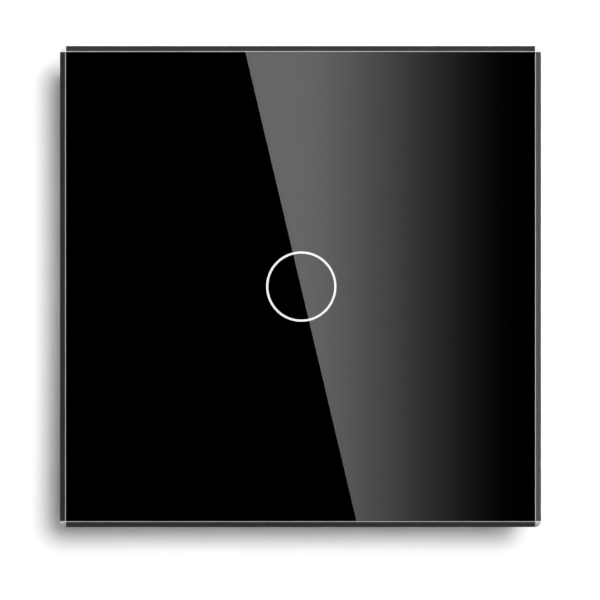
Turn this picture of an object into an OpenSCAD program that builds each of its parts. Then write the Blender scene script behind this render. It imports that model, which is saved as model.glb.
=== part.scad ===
// Touch light switch: a square glass panel with a lit ring, snapped over a base on a wall bracket.
// Modelled lying on its back: x to the right, y up the wall, z out of the wall. Sizes in mm.

/* [Glass panel] */
// Width and height of the square glass
panel_size = 80; // [78:0.5:90]
// Thickness of the glass
glass_thickness = 4; // [3:0.25:6]
// Width of the polished bevel round the face
bevel_width = 0.87; // [0.4:0.01:1.5]
// Width of the ground arris between bevel and face
arris_width = 0.12; // [0.1:0.01:0.4]
// Leg of the cut across each corner of the face
corner_land = 0.2; // [0.1:0.05:1]
// Outer diameter of the ring icon
ring_diameter = 11.7; // [10:0.1:13]
// Width of the ring icon's line
ring_line = 0.35; // [0.3:0.05:0.8]
// How far right of the panel's middle the ring is printed
ring_shift = 0.13; // [-0.3:0.01:0.3]
// Thickness of the print on the back of the glass
print_thickness = 0.2; // [0.1:0.05:0.4]

/* [Panel carrier] */
// Thickness of the tape between glass and carrier
tape_thickness = 0.4; // [0.2:0.1:1]
// Width of the tape's border
tape_border = 8; // [4:0.5:12]
// How far the glass overhangs the carrier
glass_overhang = 0.5; // [0.2:0.1:0.8]
// Thickness of the carrier's plate
carrier_plate = 1.2; // [1:0.1:2]
// Thickness of the carrier's skirt
carrier_wall = 1.6; // [1.4:0.1:2]
// Diameter of the opening over the light guide
carrier_opening = 24; // [20:0.5:40]
// Gap between skirt and wall
wall_gap = 0.6; // [0.3:0.1:1]
// Width of the notch for prying the panel off
pry_width = 8; // [5:0.5:16]

/* [Wall bracket] */
// Thickness of the steel bracket
bracket_thickness = 1.2; // [0.8:0.1:1.5]
// Distance between a pair of wall screws
fixing_spacing = 60; // [59:0.5:61]
// Width of a wall screw slot
slot_width = 4; // [3.5:0.1:4.5]
// Length of a wall screw slot
slot_length = 7; // [6:0.5:8]

/* [Base frame] */
// Height of the frame above the bracket
frame_height = 4.2; // [4:0.1:6]
// Thickness of the frame's plate
frame_plate = 1.4; // [1.2:0.1:1.8]
// Thickness of the frame's outer wall
frame_wall = 1.5; // [1.2:0.1:2]
// How far the frame's window stays inside the touch board
frame_lip = 6.4; // [6.3:0.1:7]
// Width of the openings for the heads of the wall screws
fixing_head = 7.5; // [7:0.1:8]
// Length of a panel clip
clip_length = 12; // [8:0.5:16]
// Distance of the panel clips from the middle
clip_place = 18; // [15:0.5:22]

/* [Rear housing] */
// Width of the box behind the wall plane
housing_width = 46; // [45:0.5:47]
// Height of the box behind the wall plane
housing_height = 44; // [43.5:0.5:46]
// Depth of the box behind the wall plane
housing_depth = 26; // [24:0.5:36]
// Thickness of the box's walls
housing_wall = 1.8; // [1.5:0.1:2]
// Radius of the box's upright corners
housing_corner = 8; // [7:0.5:9]
// Thickness of the flange on the bracket
flange_thickness = 1.5; // [1.2:0.1:1.6]

/* [Boards] */
// Thickness of the touch board
touch_board_thickness = 1; // [0.8:0.1:1.2]
// Thickness of the power board
power_board_thickness = 1.6; // [1:0.1:2]
// Gap between the boards
board_gap = 4.5; // [4.2:0.1:5.5]
// Wire diameter of the touch spring
spring_wire = 0.45; // [0.3:0.05:0.5]
// Coil diameter of the touch spring
spring_coil = 6.4; // [5:0.1:7]

/* [Terminals] */
// Distance from terminal to terminal
terminal_pitch = 5.5; // [5.4:0.1:5.8]
// Height of the terminal block on the board
terminal_height = 14; // [13:0.5:15]
// Diameter of the terminal screws
screw_diameter = 2.5; // [2:0.1:2.5]
// Travel of a clamp cage
clamp_travel = 2.6; // [2:0.1:2.8]
// Diameter of the wire entries
wire_entry = 3; // [2.4:0.1:3]

/* [Relay] */
// Length of the relay
relay_length = 20.5; // [20:0.1:21]
// Width of the relay
relay_width = 10.4; // [9.8:0.1:10.6]
// Height of the relay
relay_height = 15.2; // [15:0.1:17]
// Opening angle of the armature
armature_angle = 4.5; // [3:0.5:5]

/* [Supply parts] */
// Diameter of the storage capacitor
can_diameter = 8; // [6.5:0.5:8.5]
// Height of the storage capacitor
can_height = 13; // [9:0.5:15]
// Length of the film capacitor
film_length = 13; // [11:0.5:13]
// Diameter of the varistor
varistor_diameter = 8.4; // [7:0.2:9]
// Diameter of the choke
choke_diameter = 6.8; // [5.5:0.1:7]

/* [Hidden] */
$fn = 48;
cut = 1;
weld = 0.2;
fit = 0.2;
snug = 0.05;

// Panel, from the wall outwards
panel_clearance = 0.6;
panel_play = 0.1;
carrier_size = panel_size - 2 * glass_overhang;
carrier_inner = carrier_size - 2 * carrier_wall;
frame_size = carrier_inner - 2 * panel_clearance;
frame_front = bracket_thickness + frame_height;
frame_back = frame_front - frame_plate;
carrier_back = frame_front + panel_play;
carrier_front = carrier_back + carrier_plate;
print_back = carrier_front + tape_thickness;
glass_back = print_back + print_thickness;
glass_front = glass_back + glass_thickness;
arris_depth = arris_width * tan(22.5);
face_inset = bevel_width + arris_width;
print_margin = 0.4;
tape_margin = 1;
ring_gap = 0.02;
pry_height = 1.4;

// Bracket and fixing screws
bracket_inset = 0.6;
bracket_size = frame_size - 2 * bracket_inset;
bracket_window_gap = 0.4;
bracket_corner = 3;

// Housing
flange_border = 4;
flange_corner = 6;
flange_front = bracket_thickness + flange_thickness;
cavity_width = housing_width - 2 * housing_wall;
cavity_height = housing_height - 2 * housing_wall;
cavity_corner = housing_corner - housing_wall;
rear_inside = housing_wall - housing_depth;

// Frame screws
frame_screw_x = housing_width / 2 + 0.5;
frame_screw_y = housing_height / 2 + 0.5;
frame_screw_radius = 1.25;
frame_head_radius = 2.3;
frame_head_height = 1.6;
frame_seat = frame_front - frame_head_height - fit;
boss_radius = 3.6;

// Clips
clip_thickness = 0.3;
clip_pocket = 1.05;
clip_catch = 0.45;
clip_foot = 0.4;
clip_pad = 2.6;
clip_rise = 1.3;
clip_middle = bracket_thickness + frame_height / 2;
clip_bed = frame_size / 2 - clip_pocket + snug;
clip_bulge = carrier_inner / 2 + clip_catch - clip_thickness;
groove_gap = 0.1;

// Boards
board_margin = 0.4;
board_width = cavity_width - 2 * board_margin;
board_height = cavity_height - 2 * board_margin;
board_corner = cavity_corner - board_margin;
board_proud = 0.2;
touch_front = flange_front + board_proud;
touch_back = touch_front - touch_board_thickness;
power_front = touch_back - board_gap;
power_back = power_front - power_board_thickness;
post_inset = 4.2;
post_x = board_width / 2 - post_inset;
post_y = board_height / 2 - post_inset;
post_radius = 2;
part_edge = 0.8;
part_gap = 0.6;

// Light guide, spring and parts on the touch board
guide_gap = 0.2;
guide_radius = ring_diameter / 2 - ring_line / 2;
guide_wall = 1.4;
guide_foot = 0.8;
guide_rim = 1.8;
peg_radius = 0.6;
led_size = [0.8, 1.6, 0.6];
led_gap = 0.15;
led_angles = [45, 135, 225, 315];
chip_place = [-9.6, 8.6];
chip_size = [3.9, 4.9, 1.4];
chip_standoff = 0.1;
leg_pitch = 1.27;
resistor_size = [2, 1.25, 0.5];
resistor_places = [[-4.5, 10.6], [-4.5, 8.4], [9.6, 9.4], [9.6, 7.2], [9.6, -8], [-9.8, -9.6]];
capacitor_size = [1.25, 2, 0.9];
capacitor_places = [[3.4, 10], [5.8, 10], [-3.6, -10.2], [4.2, -10.2]];
spring_radius = spring_coil / 2;
spring_bend = 0.6;
spring_end = 0.5;
spring_turns = 2.2;
spring_low = touch_front + spring_end + spring_bend;
spring_high = print_back - snug - spring_end - spring_bend;
spring_steps = 8;
spring_sides = 6;

// Board connector
pin_count = 5;
pin_pitch = 2.54;
pin_size = 0.6;
pin_hole = 0.8;
pin_tail = 0.5;
connector_y = board_height / 2 - 2.9;
connector_size = [pin_count * pin_pitch, 2.5];
header_height = 1.7;
socket_height = board_gap - header_height - fit;

// Terminals, from the rear of the block to the board
terminal_x = [-terminal_pitch, 0, terminal_pitch];
terminal_depth = 10;
terminal_border = 0.5;
block_width = 3 * terminal_pitch + 2 * terminal_border;
block_low = fit - cavity_height / 2;
block_rear = power_back - terminal_height;
block_wall = 1.5;
screw_y = block_low + terminal_depth / 2;
screw_radius = screw_diameter / 2;
screw_head_radius = 1.9;
screw_head_height = 1.5;
screw_recess = 0.5;
screw_slot = 0.7;
driver_radius = 2.2;
shelf = 1;
head_front = block_rear + screw_recess + screw_head_height;
pocket_rear = head_front + shelf;
cage_width = 4.4;
cage_side = 0.8;
cage_wall = 0.9;
cage_half = 2.5;
cage_rear = pocket_rear + 0.1 + clamp_travel;
bar_rear = cage_rear + cage_wall + 0.1;
bar_thickness = 0.9;
bar_front = bar_rear + bar_thickness;
bar_width = 2.6;
bar_leg = 0.8;
bar_leg_y = screw_y + cage_half + 0.6;
clamp_rear = bar_front + clamp_travel + 0.4;
cage_front = clamp_rear + cage_wall;
pocket_front = cage_front + fit;
pocket_width = cage_width + 0.3;
wire_z = (bar_front + clamp_rear) / 2;

// Terminal step in the rear of the housing
step_y = block_low + terminal_depth + 2;
step_inside = block_rear - fit;
step_outside = step_inside - housing_wall;

// Bare sunk field on the rear of the housing
field_size = [28, 14];
field_depth = 0.3;
field_corner = 1;
field_y = (step_y + housing_height / 2) / 2;

// Relay, standing on the rear of the power board
relay_place = [0, board_height / 2 - part_edge - relay_width / 2];
case_wall = 0.6;
relay_base_height = 1.2;
relay_inner = relay_length - 2 * case_wall - 0.2;
yoke_thickness = 1.2;
yoke_width = 5;
yoke_x = -relay_inner / 2 + 0.2;
coil_x = -3;
coil_radius = 4;
coil_bottom = relay_base_height + yoke_thickness;
coil_height = 7;
bobbin_flange = 0.7;
bobbin_side = 8.6;
bobbin_radius = 2.1;
core_radius = 1.5;
pole_radius = 2.6;
pole_height = 0.6;
pole_face = coil_bottom + coil_height + 2 * bobbin_flange + pole_height;
pivot_radius = 0.5;
pivot_x = yoke_x + yoke_thickness / 2;
pivot_z = pole_face + 0.03 + pivot_radius;
armature_gap = 0.1;
armature_thickness = 0.9;
armature_end = coil_x + pole_radius + 0.3;
leaf_z = pole_face + armature_gap + armature_thickness;
leaf_thickness = 0.2;
leaf_width = 3;
contact_x = 6.5;
contact_radius = 1.1;
contact_height = 0.6;
contact_post = 0.6;
rivet_radius = 0.5;

// Supply parts on the rear of the power board
fuse_radius = 3;
fuse_height = 7;
film_size = [film_length, 6, 11];
varistor_thickness = 3.6;
varistor_neck = [5, 2.4, 2];
choke_height = 8;
choke_flange = 1;
rectifier_size = [6.4, 5, 2.6];
part_limit = board_width / 2 - part_edge;
upper_row = relay_place[1] - relay_width / 2 - part_gap - can_diameter / 2;
lower_row = block_low + terminal_depth + part_gap + fuse_radius;
can_place = [6.6, upper_row];
film_place = [film_length / 2 - part_limit, upper_row];
varistor_place = [varistor_diameter / 2 - part_limit, lower_row];
rectifier_place = [-0.5, lower_row];
fuse_place = [part_limit - fuse_radius, lower_row];
choke_place = [part_limit - choke_diameter / 2, post_y - post_radius - part_gap - choke_diameter / 2];

// Leads through the power board
lead_radius = 0.35;
lead_hole = 0.5;
lead_tail = 1.2;
solder_radius = 0.95;
solder_height = 0.7;
leads = concat(
  [for (p = [[-8, 2.4], [-8, -2.4], [yoke_x + 1, 0], [contact_x + 1.8, 0]])
    [relay_place[0] + p[0], relay_place[1] - p[1]]],
  [for (s = [-1.75, 1.75]) [can_place[0] + s, can_place[1]]],
  [for (s = [-4.5, 4.5]) [film_place[0] + s, film_place[1]]],
  [for (s = [-1.8, 1.8]) [varistor_place[0] + s, varistor_place[1]]],
  [for (s = [-1.5, 1.5]) [fuse_place[0] + s, fuse_place[1]]],
  [for (s = [-2, 2]) [choke_place[0], choke_place[1] + s]],
  [for (sx = [-2.4, 2.4], sy = [-1.7, 1.7]) [rectifier_place[0] + sx, rectifier_place[1] + sy]],
  [for (x = terminal_x) [x, bar_leg_y + bar_leg / 2]]);

// Which sub-part to draw, or all of them

// Stands the part up: the wall side faces +Y and the glass -Y
module upright() {
  rotate([90, 0, 0]) children();
}

// Prism of a flat shape between two heights
module slab(from, to) {
  translate([0, 0, from]) linear_extrude(to - from) children();
}

// Rectangle with rounded corners about the origin
module rounded(w, h, r) {
  square([w - 2 * r, h], center = true);
  square([w, h - 2 * r], center = true);
  for (x = [-1, 1], y = [-1, 1]) translate([x * (w / 2 - r), y * (h / 2 - r)]) circle(r);
}

// Slot along x about the origin
module slot(w, length) {
  square([length - w, w], center = true);
  for (x = [-1, 1]) translate([x * (length - w) / 2, 0]) circle(d = w);
}

// The four places of the wall screws, each turned so that x points outwards
module at_fixings() {
  for (a = [0, 90, 180, 270]) rotate(a) translate([fixing_spacing / 2, 0]) children();
}

// The four places of the frame screws
module at_frame_screws() {
  for (x = [-1, 1], y = [-1, 1]) translate([x * frame_screw_x, y * frame_screw_y]) children();
}

// The four places of the posts that carry the boards
module at_posts() {
  for (x = [-1, 1], y = [-1, 1]) translate([x * post_x, y * post_y]) children();
}

// The four places of the panel clips, each turned so that x points outwards
module at_clips() {
  for (a = [0, 180], y = [-1, 1]) rotate(a) translate([0, y * clip_place]) children();
}

// The places of the connector's pins
module at_pins() {
  for (i = [0 : pin_count - 1])
    translate([(i - (pin_count - 1) / 2) * pin_pitch, connector_y]) children();
}

// Foot of a part on the rear of the power board, z away from the board
module on_power_board(place) {
  translate([place[0], place[1], power_back]) rotate([180, 0, 0]) children();
}

// Openings in front of the wall screw slots
module fixing_openings() {
  at_fixings() slot(fixing_head, slot_length - slot_width + fixing_head);
}

// Outline of the glass at a distance inside its edge
module glass_outline(inset) {
  h = panel_size / 2 - inset;
  c = h - corner_land - (face_inset - inset) * (2 - sqrt(2));
  polygon([[-h, -c], [-c, -h], [c, -h], [h, -c], [h, c], [c, h], [-c, h], [-h, c]]);
}

module glass_panel() color([0.1, 0.1, 0.11, 0.6]) hull() {
  slab(glass_back, glass_front - arris_depth - bevel_width) glass_outline(0);
  slab(glass_back, glass_front - arris_depth) glass_outline(bevel_width);
  slab(glass_back, glass_front) glass_outline(face_inset);
}

module back_print() color([0.02, 0.02, 0.02]) slab(print_back, glass_back) {
  difference() {
    square(panel_size - 2 * print_margin, center = true);
    translate([ring_shift, 0]) circle(d = ring_diameter + 2 * ring_gap);
  }
  translate([ring_shift, 0]) circle(d = ring_diameter - 2 * ring_line - 2 * ring_gap);
}

module ring_icon() color([1, 1, 1]) slab(print_back, glass_back) translate([ring_shift, 0]) difference() {
  circle(d = ring_diameter);
  circle(d = ring_diameter - 2 * ring_line);
}

module panel_tape() color([0.12, 0.12, 0.12]) slab(carrier_front, print_back) difference() {
  square(carrier_size - 2 * tape_margin, center = true);
  square(carrier_size - 2 * tape_margin - 2 * tape_border, center = true);
}

// Bent strip of a clip in x and z, moved outwards and thickened by the given amounts
module clip_profile(out, thick) {
  path = [
    [clip_bed, clip_middle - clip_rise - clip_foot],
    [clip_bed, clip_middle - clip_rise],
    [clip_bulge, clip_middle],
    [clip_bed, clip_middle + clip_rise],
    [clip_bed, clip_middle + clip_rise + clip_foot]];
  polygon(concat(
    [for (p = path) [p[0] + out, p[1]]],
    [for (i = [4 : -1 : 0]) [path[i][0] + out + thick, path[i][1]]]));
}

module panel_clips() color([0.75, 0.76, 0.78]) at_clips()
  rotate([90, 0, 0]) linear_extrude(clip_length, center = true) clip_profile(0, clip_thickness);

module panel_carrier() color([0.08, 0.08, 0.09]) difference() {
  union() {
    slab(carrier_back, carrier_front) difference() {
      rounded(carrier_size, carrier_size, 2);
      circle(d = carrier_opening);
    }
    slab(wall_gap, carrier_back + weld) difference() {
      rounded(carrier_size, carrier_size, 2);
      rounded(carrier_inner, carrier_inner, 1);
    }
  }
  at_clips() rotate([90, 0, 0]) linear_extrude(clip_length + 2 * fit, center = true)
    clip_profile(-clip_catch, clip_catch + clip_thickness + groove_gap);
  translate([-pry_width / 2, -carrier_size / 2 - cut, wall_gap - cut])
    cube([pry_width, carrier_wall + 2 * cut, pry_height + cut]);
}

module mounting_bracket() color([0.7, 0.71, 0.73]) slab(0, bracket_thickness) difference() {
  rounded(bracket_size, bracket_size, bracket_corner);
  rounded(housing_width + 2 * bracket_window_gap, housing_height + 2 * bracket_window_gap,
    housing_corner + bracket_window_gap);
  at_fixings() slot(slot_width, slot_length);
  at_frame_screws() circle(frame_screw_radius + snug);
}

module base_frame() color([0.86, 0.86, 0.84]) difference() {
  union() {
    slab(frame_back, frame_front) rounded(frame_size, frame_size, 2);
    slab(bracket_thickness, frame_back + weld) difference() {
      rounded(frame_size, frame_size, 2);
      rounded(frame_size - 2 * frame_wall, frame_size - 2 * frame_wall, 1);
    }
    slab(flange_front, frame_back + weld) at_frame_screws() circle(boss_radius);
    slab(touch_front, frame_back + weld) at_posts() circle(post_radius);
    slab(bracket_thickness, frame_back + weld) at_clips()
      translate([frame_size / 2 - clip_pad, -clip_length / 2 - 1])
        square([clip_pad - fit, clip_length + 2]);
  }
  slab(frame_back - cut, frame_front + cut)
    rounded(board_width - 2 * frame_lip, board_height - 2 * frame_lip, 2);
  slab(frame_back - cut, frame_front + cut) fixing_openings();
  slab(frame_seat, frame_front + cut) at_frame_screws() circle(frame_head_radius + fit);
  slab(flange_front - cut, frame_front) at_frame_screws() circle(frame_screw_radius + fit);
  slab(bracket_thickness - cut, frame_front + cut) at_clips()
    translate([frame_size / 2 - clip_pocket, -clip_length / 2 - fit])
      square([clip_pocket + cut, clip_length + 2 * fit]);
}

module frame_screws() color([0.6, 0.61, 0.63]) at_frame_screws() difference() {
  union() {
    slab(frame_seat, frame_seat + frame_head_height) circle(frame_head_radius);
    slab(snug, frame_seat + weld) circle(frame_screw_radius);
  }
  slab(frame_seat + frame_head_height / 2, frame_front + cut) {
    square([3, 0.7], center = true);
    square([0.7, 3], center = true);
  }
}

module rear_housing() color([0.9, 0.9, 0.88]) {
  difference() {
    union() {
      slab(-housing_depth, flange_front) rounded(housing_width, housing_height, housing_corner);
      slab(bracket_thickness, flange_front) rounded(housing_width + 2 * flange_border,
        housing_height + 2 * flange_border, flange_corner);
    }
    slab(step_inside, flange_front + cut) rounded(cavity_width, cavity_height, cavity_corner);
    slab(rear_inside, step_inside + weld) intersection() {
      rounded(cavity_width, cavity_height, cavity_corner);
      translate([-housing_width / 2, step_y + housing_wall]) square([housing_width, housing_height]);
    }
    slab(-housing_depth - cut, step_outside)
      translate([-housing_width / 2 - cut, step_y - housing_height])
        square([housing_width + 2 * cut, housing_height]);
    slab(-housing_depth - cut, field_depth - housing_depth) translate([0, field_y])
      rounded(field_size[0], field_size[1], field_corner);
    slab(bracket_thickness - cut, flange_front + cut) fixing_openings();
    slab(bracket_thickness - cut, flange_front + cut) at_frame_screws()
      circle(frame_screw_radius + fit);
    slab(step_outside - cut, step_inside + cut)
      for (x = terminal_x) translate([x, screw_y]) circle(driver_radius);
    for (x = terminal_x) translate([x, -housing_height / 2 - cut, wire_z]) rotate([-90, 0, 0])
      cylinder(d = wire_entry, h = housing_wall + 2 * cut);
  }
  for (x = [-1, 1]) {
    translate([x * post_x, post_y]) slab(rear_inside - weld, power_back) circle(post_radius);
    translate([x * post_x, -post_y]) slab(step_inside - weld, power_back) circle(post_radius);
  }
}

module touch_board() color([0.05, 0.07, 0.06]) slab(touch_back, touch_front) difference() {
  rounded(board_width, board_height, board_corner);
  at_pins() square(pin_hole, center = true);
  for (x = [-1, 1]) translate([x * (guide_radius + guide_rim), 0]) circle(peg_radius + snug);
  translate([spring_radius, -spring_bend]) circle(spring_wire / 2 + fit);
}

// Centre line of the touch spring: a straight foot, the coil, and a straight tip
function spring_pitch() = (spring_high - spring_low) / spring_turns;
function coil_point(a) = [spring_radius * cos(a), spring_radius * sin(a),
  spring_low + spring_pitch() * a / 360];
spring_path = let (e = 360 * spring_turns, d = [-sin(e), cos(e), 0], t = coil_point(e)) concat(
  [[spring_radius, -spring_bend, touch_back]],
  [for (b = [0, 30, 60])
    [spring_radius, -spring_bend * cos(b), spring_low - spring_bend + spring_bend * sin(b)]],
  [for (i = [0 : ceil(spring_turns * spring_steps)])
    coil_point(min(i * 360 / spring_steps, e))],
  [for (b = [30, 60, 90]) t + spring_bend * sin(b) * d + [0, 0, spring_bend * (1 - cos(b))]],
  [t + spring_bend * d + [0, 0, spring_bend + spring_end]]);
spring_last = len(spring_path) - 1;
function spring_angle(i) = min(max((i - 4) * 360 / spring_steps, 0), 360 * spring_turns);
function spring_tangent(i) =
  let (v = spring_path[min(i + 1, spring_last)] - spring_path[max(i - 1, 0)]) v / norm(v);
spring_self_gap = min([for (i = [0 : spring_last], j = [i + 1 : 1 : spring_last])
  if (j - i >= spring_steps / 2) norm(spring_path[i] - spring_path[j])]) - spring_wire;

module touch_spring() color([0.85, 0.8, 0.6]) {
  echo(spring_self_gap = spring_self_gap);
  points = [for (i = [0 : spring_last], s = [0 : spring_sides - 1])
    let (n = [cos(spring_angle(i)), sin(spring_angle(i)), 0], b = cross(spring_tangent(i), n),
      a = s * 360 / spring_sides)
      spring_path[i] + spring_wire / 2 * (cos(a) * n + sin(a) * b)];
  sides = [for (i = [0 : spring_last - 1], s = [0 : spring_sides - 1])
    let (k = (s + 1) % spring_sides, p = i * spring_sides, q = p + spring_sides)
      each [[p + k, p + s, q + s], [p + k, q + s, q + k]]];
  foot = [for (s = [1 : spring_sides - 2]) [0, s, s + 1]];
  tip = let (t = spring_last * spring_sides) [for (s = [1 : spring_sides - 2]) [t, t + s + 1, t + s]];
  polyhedron(points, concat(sides, foot, tip));
}

module light_guide() color([0.95, 0.95, 0.93]) {
  difference() {
    union() {
      slab(touch_front, print_back - guide_gap) circle(guide_radius + guide_wall / 2);
      slab(touch_front, touch_front + guide_foot) {
        circle(guide_radius + guide_wall);
        for (x = [-1, 1]) translate([x * (guide_radius + guide_rim), 0]) circle(guide_rim);
      }
      for (x = [-1, 1]) translate([x * (guide_radius + guide_rim), 0])
        slab(touch_back, touch_front + weld) circle(peg_radius);
    }
    slab(touch_front - cut, print_back + cut) circle(guide_radius - guide_wall / 2);
    for (a = led_angles) rotate(a) translate([guide_radius, 0, touch_front])
      cube([led_size[0] + 2 * led_gap, led_size[1] + 2 * led_gap, 2 * (led_size[2] + led_gap)],
        center = true);
  }
}

module ring_leds() color([0.98, 0.95, 0.75])
  for (a = led_angles) rotate(a) translate([guide_radius, 0, touch_front + led_size[2] / 2])
    cube(led_size, center = true);

module touch_chip() color([0.06, 0.06, 0.06])
  translate([chip_place[0], chip_place[1], touch_front + chip_standoff + chip_size[2] / 2])
    cube(chip_size, center = true);

module chip_legs() color([0.8, 0.8, 0.8])
  for (s = [0, 180], i = [-1.5, -0.5, 0.5, 1.5])
    translate([chip_place[0], chip_place[1] + i * leg_pitch, touch_front]) rotate(s)
      rotate([90, 0, 0]) linear_extrude(0.4, center = true) translate([chip_size[0] / 2, 0])
        polygon([[0, 0.6], [0.3, 0.6], [0.3, 0], [1.05, 0], [1.05, 0.2], [0.5, 0.2], [0.5, 0.8], [0, 0.8]]);

module chip_resistors() color([0.1, 0.1, 0.12])
  for (p = resistor_places) translate([p[0], p[1], touch_front + resistor_size[2] / 2])
    cube(resistor_size, center = true);

module chip_capacitors() color([0.65, 0.5, 0.35])
  for (p = capacitor_places) translate([p[0], p[1], touch_front + capacitor_size[2] / 2])
    cube(capacitor_size, center = true);

module header_block() color([0.07, 0.07, 0.07])
  slab(touch_back - header_height, touch_back) difference() {
    translate([0, connector_y]) square(connector_size, center = true);
    at_pins() square(pin_hole, center = true);
  }

module header_pins() color([0.85, 0.75, 0.4])
  slab(power_front + fit, touch_front + pin_tail) at_pins() square(pin_size, center = true);

module header_socket() color([0.07, 0.07, 0.07])
  slab(power_front, power_front + socket_height) difference() {
    translate([0, connector_y]) square(connector_size, center = true);
    at_pins() square(pin_hole, center = true);
  }

module board_spacers() color([0.9, 0.9, 0.85])
  slab(power_front, touch_back) at_posts() difference() {
    circle(post_radius);
    circle(post_radius / 2);
  }

module power_board() color([0.1, 0.35, 0.2]) slab(power_back, power_front) difference() {
  rounded(board_width, board_height, board_corner);
  for (p = leads) translate(p) circle(lead_hole);
}

module soldered_leads() color([0.78, 0.79, 0.8])
  for (p = leads) translate([p[0], p[1], power_back]) {
    cylinder(r = lead_radius, h = power_board_thickness + lead_tail);
    translate([0, 0, power_board_thickness])
      cylinder(r1 = solder_radius, r2 = lead_radius + snug, h = solder_height);
  }

module terminal_block() color([0.2, 0.45, 0.28]) difference() {
  translate([-block_width / 2, block_low, block_rear])
    cube([block_width, terminal_depth, terminal_height]);
  for (x = terminal_x) translate([x, 0, 0]) {
    translate([0, screw_y]) slab(block_rear - cut, head_front) circle(driver_radius);
    translate([0, screw_y]) slab(block_rear, pocket_rear + cut) circle(screw_radius + 0.1);
    translate([-pocket_width / 2, block_low + block_wall, pocket_rear])
      cube([pocket_width, bar_leg_y + bar_leg + fit - block_low - block_wall,
        pocket_front - pocket_rear]);
    translate([-bar_width / 2 - 0.1, bar_leg_y - 0.1, pocket_rear])
      cube([bar_width + 0.2, bar_leg + 0.2, terminal_height]);
    translate([0, block_low - cut, wire_z]) rotate([-90, 0, 0])
      cylinder(d = wire_entry, h = block_wall + 2 * cut);
  }
}

module terminal_bars() color([0.8, 0.68, 0.35]) for (x = terminal_x) {
  translate([x - bar_width / 2, block_low + block_wall, bar_rear])
    cube([bar_width, bar_leg_y + bar_leg - block_low - block_wall, bar_thickness]);
  translate([x - bar_width / 2, bar_leg_y, bar_rear])
    cube([bar_width, bar_leg, power_back - bar_rear]);
}

// Screw of one terminal, its slotted head to the rear
module terminal_screw(i) color([0.72, 0.73, 0.75]) translate([terminal_x[i], screw_y]) difference() {
  union() {
    slab(head_front - screw_head_height, head_front) circle(screw_head_radius);
    slab(head_front - weld, bar_rear - 0.02) circle(screw_radius);
  }
  slab(head_front - screw_head_height - cut, head_front - screw_head_height / 2) {
    square([2 * screw_head_radius + cut, screw_slot], center = true);
    square([screw_slot, 2], center = true);
  }
}

// Cage of one terminal, open along y for the wire
module terminal_cage(i) color([0.75, 0.74, 0.7]) translate([terminal_x[i], screw_y]) difference() {
  translate([-cage_width / 2, -cage_half, cage_rear])
    cube([cage_width, 2 * cage_half, cage_front - cage_rear]);
  translate([cage_side - cage_width / 2, -cage_half - cut, cage_rear + cage_wall])
    cube([cage_width - 2 * cage_side, 2 * cage_half + 2 * cut, clamp_rear - cage_rear - cage_wall]);
  slab(cage_rear - cut, cage_rear + cage_wall + cut) circle(screw_radius + snug);
}

module live_screw() terminal_screw(0);

module live_cage() terminal_cage(0);

module load_screw() terminal_screw(1);

module load_cage() terminal_cage(1);

module neutral_screw() terminal_screw(2);

module neutral_cage() terminal_cage(2);

module relay_base() color([0.1, 0.1, 0.1]) on_power_board(relay_place)
  slab(0, relay_base_height) square([relay_inner, relay_width - 2 * case_wall - 0.2], center = true);

module relay_yoke() color([0.6, 0.6, 0.62]) on_power_board(relay_place) {
  translate([yoke_x, -yoke_width / 2, relay_base_height])
    cube([coil_x + coil_radius - yoke_x, yoke_width, yoke_thickness]);
  translate([yoke_x, -yoke_width / 2, relay_base_height])
    cube([yoke_thickness, yoke_width, pole_face - relay_base_height]);
}

module relay_core() color([0.55, 0.55, 0.57]) on_power_board(relay_place) translate([coil_x, 0]) {
  slab(coil_bottom, pole_face) circle(core_radius);
  slab(pole_face - pole_height, pole_face) circle(pole_radius);
}

module relay_bobbin() color([0.85, 0.85, 0.8]) on_power_board(relay_place) translate([coil_x, 0])
  difference() {
    union() {
      slab(coil_bottom, coil_bottom + bobbin_flange) square(bobbin_side, center = true);
      slab(coil_bottom, pole_face - pole_height) circle(bobbin_radius);
      slab(pole_face - pole_height - bobbin_flange, pole_face - pole_height)
        square(bobbin_side, center = true);
    }
    slab(coil_bottom - cut, pole_face) circle(core_radius + snug);
  }

module relay_coil() color([0.72, 0.38, 0.2]) on_power_board(relay_place) translate([coil_x, 0])
  slab(coil_bottom + bobbin_flange, coil_bottom + bobbin_flange + coil_height) difference() {
    circle(coil_radius);
    circle(bobbin_radius + snug);
  }

// Opens the armature from its closed place about the pivot
module armature_open() {
  on_power_board(relay_place) translate([pivot_x, 0, pivot_z]) rotate([0, -armature_angle, 0])
    translate([-pivot_x, 0, -pivot_z]) children();
}

module relay_armature() color([0.58, 0.58, 0.6]) armature_open() {
  translate([pivot_x, yoke_width / 2, pivot_z]) rotate([90, 0, 0])
    cylinder(r = pivot_radius, h = yoke_width);
  translate([pivot_x, -yoke_width / 2, leaf_z - armature_thickness])
    cube([armature_end - pivot_x, yoke_width, armature_thickness]);
}

module contact_leaf() color([0.8, 0.62, 0.4]) armature_open() {
  translate([pivot_x + 2, -leaf_width / 2, leaf_z])
    cube([contact_x + contact_radius - pivot_x - 2, leaf_width, leaf_thickness]);
  translate([contact_x, 0]) slab(leaf_z - contact_height, leaf_z + leaf_thickness / 2)
    circle(contact_radius);
  for (x = [pivot_x + 3.5, pivot_x + 5.5]) translate([x, 0])
    slab(leaf_z + leaf_thickness / 2, leaf_z + leaf_thickness + 0.4) circle(rivet_radius);
}

module relay_contact() color([0.8, 0.65, 0.4]) on_power_board(relay_place) {
  top = leaf_z - contact_height - snug;
  translate([contact_x, 0]) slab(top - contact_height, top) circle(contact_radius);
  translate([contact_x - contact_radius - 0.3, -leaf_width / 2, top - contact_height - contact_post])
    cube([2 * contact_radius + 0.6, leaf_width, contact_post]);
  translate([contact_x + contact_radius - 0.3, -leaf_width / 2, relay_base_height])
    cube([contact_post, leaf_width, top - contact_height - relay_base_height]);
}

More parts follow.
